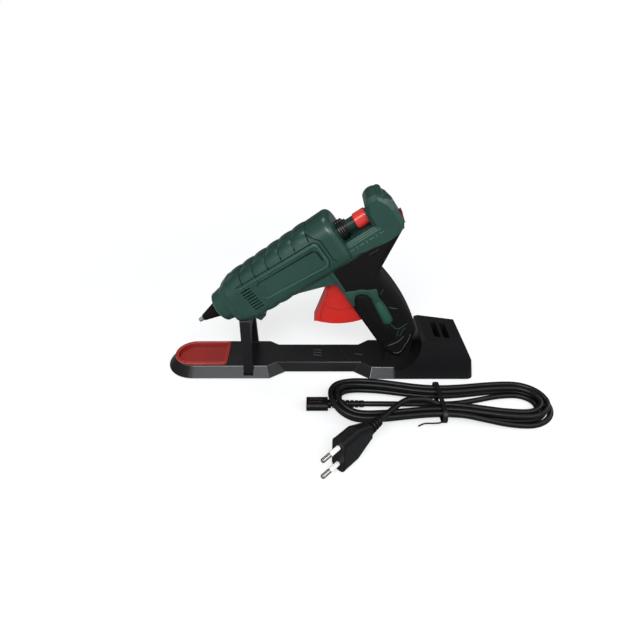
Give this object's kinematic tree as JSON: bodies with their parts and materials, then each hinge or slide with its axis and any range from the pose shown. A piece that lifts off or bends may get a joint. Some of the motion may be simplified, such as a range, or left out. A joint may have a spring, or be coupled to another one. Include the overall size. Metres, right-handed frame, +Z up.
{
  "type": "glue gun",
  "caption": "Hot-melt glue gun with a trigger feed, docked nose-down in a long moulded stand with drip tray and support yoke, and its mains lead tied in a hank.",
  "frame": {"origin": "on the floor under the middle of the stand's length and width, measured without the free lead", "axes": "+X along the stand from the drip tray towards the tower, +Y across it away from the lead, +Z up"},
  "size_m": [0.3813, 0.191, 0.1866],
  "materials": {
    "shell_green": "satin moulded",
    "grip_black": "soft matte",
    "feature_red": "glossy moulded",
    "tray_red": "glossy moulded",
    "rocker_red": "glossy moulded",
    "stand_black": "glossy moulded",
    "yoke_black": "satin moulded",
    "boot_black": "matte silicone",
    "part_black": "matte moulded",
    "tip_steel": "turned",
    "steel": "plain",
    "chamber_aluminium": "cast",
    "ceramic": "fired",
    "insulator": "pressed",
    "silicone": "satin",
    "board_green": "coated",
    "wire_sleeve": "satin",
    "contact_brass": "drawn",
    "cord_black": "satin",
    "plug_black": "satin moulded",
    "sleeve_white": "satin moulded",
    "prong_nickel": "plated",
    "feet_rubber": "matte"
  },
  "bodies": {
    "stand": {"stand_shell": "stand_black", "base_plate": "stand_black", "base_screws": "steel", "rubber_feet": "feet_rubber", "support_yoke": "yoke_black", "hank": "cord_black", "connector": "plug_black", "connector_contacts": "contact_brass", "hank_tie": "part_black", "plug": "plug_black", "plug_pins": "prong_nickel", "pin_sleeves": "sleeve_white"},
    "tray": {"drip_tray": "tray_red"},
    "gun": {"right_shell": "shell_green", "left_shell": "shell_green", "right_grip": "grip_black", "left_grip": "grip_black", "butt_cap": "grip_black", "inlet_body": "part_black", "inlet_pins": "contact_brass", "shell_screws": "steel", "nozzle": "tip_steel", "valve_spring": "steel", "nozzle_boot": "boot_black", "front_collar": "shell_green", "melt_chamber": "chamber_aluminium", "heaters": "ceramic", "heater_wedge": "chamber_aluminium", "front_ring": "insulator", "rear_ring": "insulator", "sleeve_plate": "part_black", "inlet_sleeve": "silicone", "sleeve_clip": "steel", "thermal_fuse": "tip_steel", "guide_tube": "part_black", "trigger_pin": "steel", "control_board": "board_green", "switch_body": "part_black", "heater_wires": "wire_sleeve", "switch_wires": "wire_sleeve", "inlet_wires": "wire_sleeve", "carriage_spring": "steel"},
    "trigger": {"trigger": "feature_red"},
    "carriage": {"feed_carriage": "part_black", "grip_ring": "steel"},
    "adjuster": {"feed_adjuster": "feature_red"},
    "rocker": {"power_rocker": "rocker_red"},
    "valve": {"valve_ball": "steel"}
  },
  "joints": [
    {"name": "tray_lift", "type": "slide", "parent": "stand", "child": "tray", "axis": [0, 0, 1], "range_m": [0, 0.03]},
    {"name": "gun_lift", "type": "slide", "parent": "stand", "child": "gun", "axis": [0, 0, 1], "range_m": [0, 0.06]},
    {"name": "trigger_pull", "type": "hinge", "parent": "gun", "child": "trigger", "pos_m": [0.01923, 0, 0.12175], "axis": [0, -1, 0], "range_deg": [0, 13], "stiffness_Nm_per_rad": 0.6, "springref_deg": -20.05},
    {"name": "carriage_feed", "type": "slide", "parent": "gun", "child": "carriage", "axis": [-0.8271, 0, -0.5621], "range_m": [0, 0.0049], "deforming": ["carriage_spring"]},
    {"name": "adjuster_turn", "type": "hinge", "parent": "gun", "child": "adjuster", "pos_m": [0.03913, 0, 0.16078], "axis": [0.8271, 0, 0.5621], "range_deg": [-150, 150]},
    {"name": "rocker_tilt", "type": "hinge", "parent": "gun", "child": "rocker", "pos_m": [0.07297, 0, 0.16347], "axis": [0, -1, 0], "range_deg": [0, 12]},
    {"name": "valve_open", "type": "slide", "parent": "gun", "child": "valve", "axis": [-0.8271, 0, -0.5621], "range_m": [0, 0.0018], "stiffness_N_per_m": 200, "springref_m": -0.003, "deforming": ["valve_spring"]}
  ],
  "couplings": [
    {"joint": "carriage_feed", "follows": "trigger_pull", "m_per_rad": 0.0211}
  ]
}
